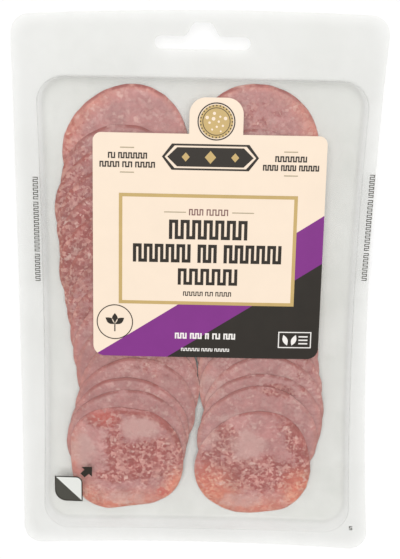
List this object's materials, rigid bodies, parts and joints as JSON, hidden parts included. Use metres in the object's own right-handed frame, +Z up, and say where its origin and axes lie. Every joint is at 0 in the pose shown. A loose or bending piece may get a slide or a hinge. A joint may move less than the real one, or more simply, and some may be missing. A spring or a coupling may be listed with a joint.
{
  "type": "retail pack of sliced salami",
  "caption": "Shallow clear tray pack with a hang-hole header, sealed with a clear lid film, holding two shingled columns of round salami slices under a square label.",
  "frame": {"origin": "on the underside of the tray floor, below the middle of the whole outline", "axes": "+Z up out of the lid film, +Y along the pack towards the header with the hang hole, +X towards the pack's right side as its label is read"},
  "size_m": [0.16, 0.244, 0.0126],
  "materials": {
    "tray": "clear thermoformed plastic, slightly milky",
    "film": "clear glossy lid film",
    "label": "smooth cream label with a coloured print",
    "salami": "moist sliced salami, pink with pale flecks of fat"
  },
  "bodies": {
    "root": {"tray": "tray", "film": "film", "label": "label", "slice_left_01": "salami", "slice_left_02": "salami", "slice_left_03": "salami", "slice_left_04": "salami", "slice_left_05": "salami", "slice_left_06": "salami", "slice_left_07": "salami", "slice_left_08": "salami", "slice_left_09": "salami", "slice_left_10": "salami", "slice_left_11": "salami", "slice_left_12": "salami", "slice_left_13": "salami", "slice_left_14": "salami", "slice_left_15": "salami", "slice_left_16": "salami", "slice_right_01": "salami", "slice_right_02": "salami", "slice_right_03": "salami", "slice_right_04": "salami", "slice_right_05": "salami", "slice_right_06": "salami", "slice_right_07": "salami", "slice_right_08": "salami", "slice_right_09": "salami", "slice_right_10": "salami", "slice_right_11": "salami", "slice_right_12": "salami", "slice_right_13": "salami", "slice_right_14": "salami", "slice_right_15": "salami", "slice_right_16": "salami"}
  },
  "joints": []
}
